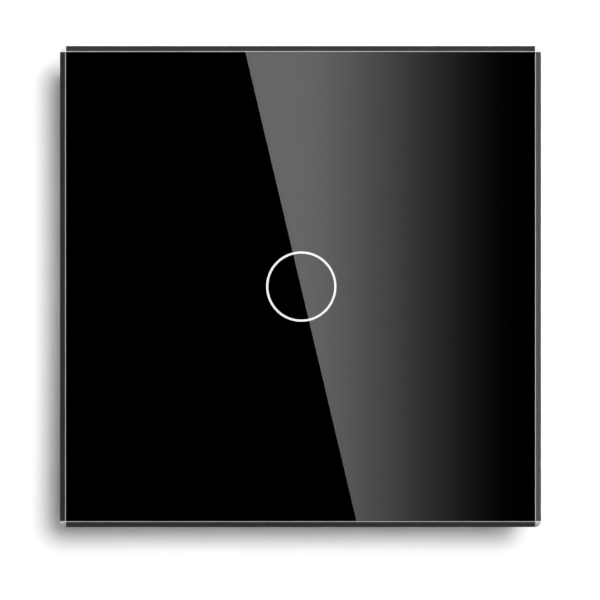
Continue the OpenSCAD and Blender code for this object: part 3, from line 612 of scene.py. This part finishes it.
# Panel clips: four bent strips of bright spring steel in pockets at the frame's sides.
# Each bulges into a groove of the carrier's skirt and holds the panel on.
wear(dressed("spring_steel", plated, {
    "Bright": (0.52, 0.53, 0.55, 1), "Dull": (0.44, 0.45, 0.47, 1), "Grain": 2400, "Drawn": 260,
    "Smooth": 0.16, "Rough": 0.3}, bump=0.08, depth=0.02 * mm, Metallic=1), "panel_clips")

# Panel carrier: a black moulded tray behind the glass, with a skirt that hides the frame.
# Its edges are lightly rounded and a notch at the foot takes a blade to prise the panel off.
wear(dressed("black_abs", moulded, {
    "Pale": (0.024, 0.024, 0.025, 1), "Deep": (0.017, 0.017, 0.018, 1), "Grain": 4200,
    "Smooth": 0.38, "Rough": 0.55}, bump=0.35, depth=0.02 * mm), "panel_carrier")
break_edges(0.2 * mm, "panel_carrier")

# Panel tape: a frame of thin black foam, sticky on both sides, between carrier and print.
# It is die cut, and its free edges bulge a little under the pressure.
low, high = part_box("panel_tape")
tape_outer = (high.x - low.x) / 2 / mm
tape_border = 8
tape_back, tape_front = -high.y / mm, -low.y / mm
bulge = 0.08
bulge_steps = 6
square = ((-1, -1), (1, -1), (1, 1), (-1, 1))
drawn_in = [(bulge * (1 - math.sin(math.pi * k / bulge_steps)),
             tape_back + (tape_front - tape_back) * k / bulge_steps)
            for k in range(bulge_steps + 1)]
edges = [(tape_outer - inset, level) for inset, level in drawn_in]
edges += [(tape_outer - tape_border + inset, level) for inset, level in drawn_in[::-1]]
bm = bmesh.new()
loops = [[bm.verts.new(at(x * half, up * half, level)) for x, up in square]
         for half, level in edges]
skin(bm, loops + loops[:1])
foam = shape("foam_tape_frame", bm, "panel", "foam_tape", dressed("foam_tape", moulded, {
    "Pale": (0.030, 0.030, 0.031, 1), "Deep": (0.018, 0.018, 0.019, 1), "Grain": 5200,
    "Smooth": 0.7, "Rough": 0.9}, bump=0.8, depth=0.05 * mm))
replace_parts(foam, "panel_tape")

# Back print and ring icon: black ink screened on the back of the glass, with a ring left open.
# The ring is filled with a thin white ink, and its glow is painted on it as emission, in place of
# light from the lamps behind it.
wear(dressed("black_print", moulded, {
    "Pale": (0.0009, 0.0009, 0.0009, 1), "Deep": (0.0005, 0.0005, 0.0005, 1), "Grain": 3000,
    "Smooth": 0.4, "Rough": 0.5}, bump=0.05, depth=0.01 * mm, Specular_IOR_Level=0.0), "back_print")
# Painted glow: the ring's ink gives off light of its own, standing in for the lamps behind it.
lit_white = dressed("lit_white", moulded, {
    "Pale": (1.0, 1.0, 1.0, 1), "Deep": (0.96, 0.96, 0.96, 1), "Grain": 5000,
    "Smooth": 0.4, "Rough": 0.5}, bump=0.05, depth=0.01 * mm, Emission_Strength=9.5)
tree = lit_white.node_tree
ink = next(n for n in tree.nodes if n.type == "GROUP")
tree.links.new(ink.outputs["Colour"], tree.nodes["Principled BSDF"].inputs["Emission Color"])
wear(lit_white, "ring_icon")

# Glass panel: 4 mm float glass with a dark tint, cut square and bevelled all round, then toughened.
# The bevel is polished; the arris at its top and the rounded corners keep the grinder's matt,
# and the two lower corners are painted darker, a painted shade for the light from above.
polished = dressed("dark_glass", moulded, {
    "Pale": (0.0100, 0.0105, 0.0105, 1), "Deep": (0.0094, 0.0100, 0.0100, 1), "Grain": 300,
    "Smooth": 0.0, "Rough": 0.002}, bump=0.0, depth=0.001 * mm, Transmission_Weight=1.0, IOR=1.5)
ground = dressed("ground_arris", moulded, {
    "Pale": (0.52, 0.52, 0.53, 1), "Deep": (0.48, 0.48, 0.49, 1), "Grain": 9000,
    "Smooth": 0.35, "Rough": 0.5}, bump=0.3, depth=0.01 * mm)
matt_corner = dressed("ground_corner", moulded, {
    "Pale": (0.92, 0.92, 0.92, 1), "Deep": (0.86, 0.86, 0.87, 1), "Grain": 9000,
    "Smooth": 0.4, "Rough": 0.55}, bump=0.3, depth=0.01 * mm)
# Painted shade: the lower corners' copy of the ground corner, darker than the upper ones for the
# light from above.
painted_shade_corner = dressed("painted_shade_corner", moulded, {
    "Pale": (0.70, 0.70, 0.70, 1), "Deep": (0.64, 0.64, 0.65, 1), "Grain": 9000,
    "Smooth": 0.4, "Rough": 0.55}, bump=0.3, depth=0.01 * mm)
low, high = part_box("glass_panel")
panel_half = high.x / mm
glass_back, glass_front = -high.y / mm, -low.y / mm
bevel = 0.87
arris = 0.12
arris_tilt = math.radians(22.5)
arris_drop = arris * math.tan(arris_tilt)
corner_land = 0.02
print_bite = 0.05
back_arris = 0.15
corner_steps = 6


def pane(inset):
    """The outline of the glass at that distance inside its edge, its corners rounded."""
    half = panel_half - inset
    leg = corner_land + max(bevel + arris - inset, 0)
    points = []
    for quarter in range(4):
        turn = math.pi / 2 * quarter
        for k in range(corner_steps + 1):
            angle = math.pi / 2 * k / corner_steps
            x = half - leg + leg * math.cos(angle)
            up = half - leg + leg * math.sin(angle)
            points.append((x * math.cos(turn) - up * math.sin(turn),
                           x * math.sin(turn) + up * math.cos(turn)))
    return points


levels = (
    (pane(back_arris), glass_back - print_bite),
    (pane(0), glass_back - print_bite + back_arris),
    (pane(0), glass_front - arris_drop - bevel),
    (pane(bevel), glass_front - arris_drop),
    (pane(bevel + arris), glass_front))
back_band, front_band = 0, len(levels) - 2
upper_corners = (0, 1)
ground_slot, matt_slot, painted_shade_slot = 1, 2, 3
bm = bmesh.new()
loops = [[bm.verts.new(at(x, up, level)) for x, up in outline] for outline, level in levels]
bm.faces.new(loops[0])
bm.faces.new(loops[-1])
for i, face in enumerate(skin(bm, loops)):
    band, s = divmod(i, len(loops[0]))
    quarter, along = divmod(s, corner_steps + 1)
    face.smooth = along < corner_steps
    if face.smooth and band != back_band:
        face.material_index = matt_slot if quarter in upper_corners else painted_shade_slot
    elif band in (back_band, front_band):
        face.material_index = ground_slot
glass = shape("bevelled_glass", bm, "panel", "dark_glass",
              polished, ground, matt_corner, painted_shade_corner)
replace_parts(glass, "glass_panel")

# Stage: a white wall behind the switch and a white floor well below it, seen from the front only.
# The wall takes the soft shadow that the panel throws down and to the left.
wall_y = 0.030
floor_z = -0.110
cove = 0.045
cove_steps = 12
reach = 1.5


def one_sided(name, albedo, lift):
    """Matt white paint seen from its front alone, with a little light of its own for the camera."""
    made = bpy.data.materials.new(name)
    made.use_nodes = True
    tree = made.node_tree
    tree.nodes.clear()
    paint = node(tree, "BsdfDiffuse", {"Color": albedo})
    seen = node(tree, "LightPath").outputs["Is Camera Ray"]
    glow = node(tree, "Emission", {"Strength": reckon(tree, "MULTIPLY", seen, lift)})
    both = node(tree, "AddShader", {0: paint.outputs[0], 1: glow.outputs[0]})
    behind = node(tree, "NewGeometry").outputs["Backfacing"]
    clear = node(tree, "BsdfTransparent")
    pick = node(tree, "MixShader", {0: behind, 1: both.outputs[0], 2: clear.outputs[0]})
    node(tree, "OutputMaterial", {"Surface": pick.outputs[0]})
    return made


def backdrop(name, profile, material):
    """A sheet of the stage: a profile in y and z drawn out to both sides."""
    bm = bmesh.new()
    rows = [[bm.verts.new((x, y, z)) for x in (-reach, reach)] for y, z in profile]
    for first, second in zip(rows, rows[1:]):
        bm.faces.new((first[0], first[1], second[1], second[0])).smooth = True
    mesh = bpy.data.meshes.new(name)
    bm.to_mesh(mesh)
    bm.free()
    mesh.materials.append(material)
    sheet = bpy.data.objects.new(name, mesh)
    bpy.context.scene.collection.objects.link(sheet)
    sheet.visible_shadow = False
    sheet.visible_glossy = False
    sheet.visible_diffuse = False
    sheet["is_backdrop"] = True
    return sheet


wall_paint = one_sided("wall_paint", albedo=(0.97, 0.97, 0.97, 1), lift=0.0)
floor_paint = one_sided("floor_paint", albedo=(0.9, 0.9, 0.9, 1), lift=0.6)
rise = [math.pi / 2 * k / cove_steps for k in range(cove_steps, -1, -1)]
cove_profile = [(wall_y - cove + cove * math.cos(angle), floor_z + cove - cove * math.sin(angle))
                for angle in rise]
wall = backdrop("wall", [(wall_y, floor_z + cove), (wall_y, reach)], wall_paint)
floor = backdrop("floor", [(-reach, floor_z)] + cove_profile, floor_paint)
rear_floor = backdrop("rear_floor", [(wall_y, floor_z), (reach, floor_z)], floor_paint)

# Light: a broad key from the front, a little above and to the right, and a narrow and a wide sun
# for the wall alone that shape its shadow. Soft area lamps fill the front, sides, rear and top.
# The room is white at the sides and dark behind the camera, so that the glass face stays black.
on_sheets = bpy.data.collections.new("on_sheets")
off_sheets = bpy.data.collections.new("off_sheets")
for sheet in (wall, floor, rear_floor):
    on_sheets.objects.link(sheet)
    off_sheets.objects.link(sheet)
for member in off_sheets.collection_objects:
    member.light_linking.link_state = "EXCLUDE"


def lamp(name, kind, place, power, lights):
    """A lamp at a place, turned to the switch, that lights a collection, or all if it is None."""
    data = bpy.data.lights.new(name, kind)
    data.energy = power
    made = bpy.data.objects.new(name, data)
    made.location = place
    made.rotation_euler = (-Vector(place)).to_track_quat("-Z", "Y").to_euler()
    bpy.context.scene.collection.objects.link(made)
    made.light_linking.receiver_collection = lights
    return made


suns = (  # name, degrees to the right and up, degrees wide, power, what it lights
    ("wall_key", 4.75, 4.3, 7, 1.75, on_sheets),
    ("wall_soft", 4.75, 4.3, 14, 1.42, on_sheets),
    ("key", 4.9, 4.7, 7.9, 1.9, off_sheets))
for name, right, up, spread, power, lights in suns:
    place = (math.tan(math.radians(right)), -1, math.tan(math.radians(up)))
    lamp(name, "SUN", place, power, lights).data.angle = math.radians(spread)
soft_lamps = (  # name, place, power, size, what it lights, whether it is mirrored
    ("left_fill", (-0.8, -0.7, 0.55), 4.5, 0.8, off_sheets, True),
    ("right_fill", (0.8, -0.7, 0.55), 4.5, 0.8, off_sheets, True),
    ("left_side", (-1, 0.35, 0.15), 3.2, 0.8, off_sheets, False),
    ("right_side", (1, 0.35, 0.15), 3.2, 0.8, off_sheets, False),
    ("rear_left", (-0.6, 0.8, 0.4), 6, 1.2, None, True),
    ("rear_right", (0.7, 0.75, 0.2), 4.2, 1.2, None, True),
    ("overhead", (0, 0.55, 0.85), 4, 0.7, None, True))
for name, place, power, size, lights, mirrored in soft_lamps:
    made = lamp(name, "AREA", place, power, lights)
    made.data.size = size
    made.visible_glossy = mirrored

room_level = 0.71
room_sides = 0.36
room_right = 0.53
room_top = 0.1375
dark_until, light_from = -0.978, -0.766
warm_top = (1.075, 0.947, 0.978, 1)
white = (1, 1, 1, 1)
ambient_level = 0.04
world = bpy.data.worlds.new("room")
bpy.context.scene.world = world
world.use_nodes = True
tree = world.node_tree
tree.nodes.clear()
ray = node(tree, "LightPath").outputs
way = node(tree, "SeparateXYZ", {0: node(tree, "TexCoord").outputs["Generated"]}).outputs
level = reckon(tree, "MULTIPLY_ADD", reckon(tree, "MULTIPLY", way["X"], way["X"]),
               room_sides, room_level)
level = reckon(tree, "MULTIPLY_ADD", way["X"], room_right, level)
level = reckon(tree, "MULTIPLY_ADD", way["Z"], room_top, level)
front = node(tree, "MapRange", {"Value": way["Y"], "From Min": dark_until, "From Max": light_from},
             interpolation_type="SMOOTHSTEP").outputs["Result"]
tint = node(tree, "Mix", {"Factor": way["Z"], colour_a: white, colour_b: warm_top},
            data_type="RGBA").outputs[mixed_colour]
ambient = node(tree, "Background", {"Color": white, "Strength": ambient_level}).outputs[0]
mirrored = node(tree, "Background", {
    "Color": tint, "Strength": reckon(tree, "MULTIPLY", level, front)}).outputs[0]
plain = node(tree, "Background", {"Color": white, "Strength": 1.0}).outputs[0]
seen = reckon(tree, "MAXIMUM", ray["Is Camera Ray"], ray["Is Transmission Ray"])
unseen = node(tree, "MixShader", {0: ray["Is Glossy Ray"], 1: ambient, 2: mirrored}).outputs[0]
shown = node(tree, "MixShader", {0: seen, 1: unseen, 2: plain}).outputs[0]
node(tree, "OutputWorld", {"Surface": shown})

# Camera and gloss card: square on from 1.5 m with a long lens, the panel a little above the middle.
# A slanted white card behind the camera, fading to the right, is what the glass face mirrors.
picture = 600
panel_width, panel_pixels = 80, 481
panel_across, panel_down = 300.5, 286.55
film = 36
distance = 1.5
sight = 20
pixel = panel_width / panel_pixels * mm
focus_y = -(glass_front - arris_drop - bevel) * mm
centre_x = (picture / 2 - panel_across) * pixel
centre_z = (panel_down - picture / 2) * pixel
data = bpy.data.cameras.new("camera")
data.sensor_width = film
data.lens = film * distance / (picture * pixel)
data.clip_end = sight
camera = bpy.data.objects.new("camera", data)
camera.location = (centre_x, focus_y - distance, centre_z)
camera.rotation_euler = (math.pi / 2, 0, 0)
bpy.context.scene.collection.objects.link(camera)
bpy.context.scene.camera = camera

card_far = 1.6
card_top, card_foot, card_right = 42, 533, 545
slant_top, slant_foot = 243.0, 359.35
fade_dark, fade_light = 537, 300
fade_power = 2.0
card_level = 0.825
face_y = -glass_front * mm
face_far = face_y - camera.location.y


def mirrored_at(across, down):
    """Where the glass face mirrors that place of the picture, at the card's distance."""
    spread = face_far / distance * (1 + card_far / face_far)
    return Vector((centre_x + (across - picture / 2) * pixel * spread, face_y - card_far,
                   centre_z - (down - picture / 2) * pixel * spread))


card_corners = ((slant_foot, card_foot), (card_right, card_foot),
                (card_right, card_top), (slant_top, card_top))
bm = bmesh.new()
bm.faces.new([bm.verts.new(mirrored_at(*corner)) for corner in card_corners])
mesh = bpy.data.meshes.new("gloss_card")
bm.to_mesh(mesh)
bm.free()
glow = bpy.data.materials.new("gloss_card")
glow.use_nodes = True
tree = glow.node_tree
tree.nodes.clear()
across = node(tree, "SeparateXYZ", {0: node(tree, "TexCoord").outputs["Object"]}).outputs["X"]
straight_fade, smooth_fade = [
    node(tree, "MapRange", {"Value": across, "From Min": mirrored_at(fade_dark, 0).x,
                            "From Max": mirrored_at(fade_light, 0).x},
         interpolation_type=kind).outputs["Result"] for kind in ("LINEAR", "SMOOTHSTEP")]
fade = reckon(tree, "POWER", reckon(tree, "ADD", straight_fade, smooth_fade), fade_power)
light = node(tree, "Emission", {"Strength": reckon(tree, "MULTIPLY", fade, card_level)})
node(tree, "OutputMaterial", {"Surface": light.outputs[0]})
mesh.materials.append(glow)
card = bpy.data.objects.new("gloss_card", mesh)
bpy.context.scene.collection.objects.link(card)
card.visible_camera = False
card.visible_diffuse = False
card.visible_shadow = False
card.visible_transmission = False
card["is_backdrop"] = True

bpy.context.scene.view_settings.view_transform = "Standard"

low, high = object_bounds()
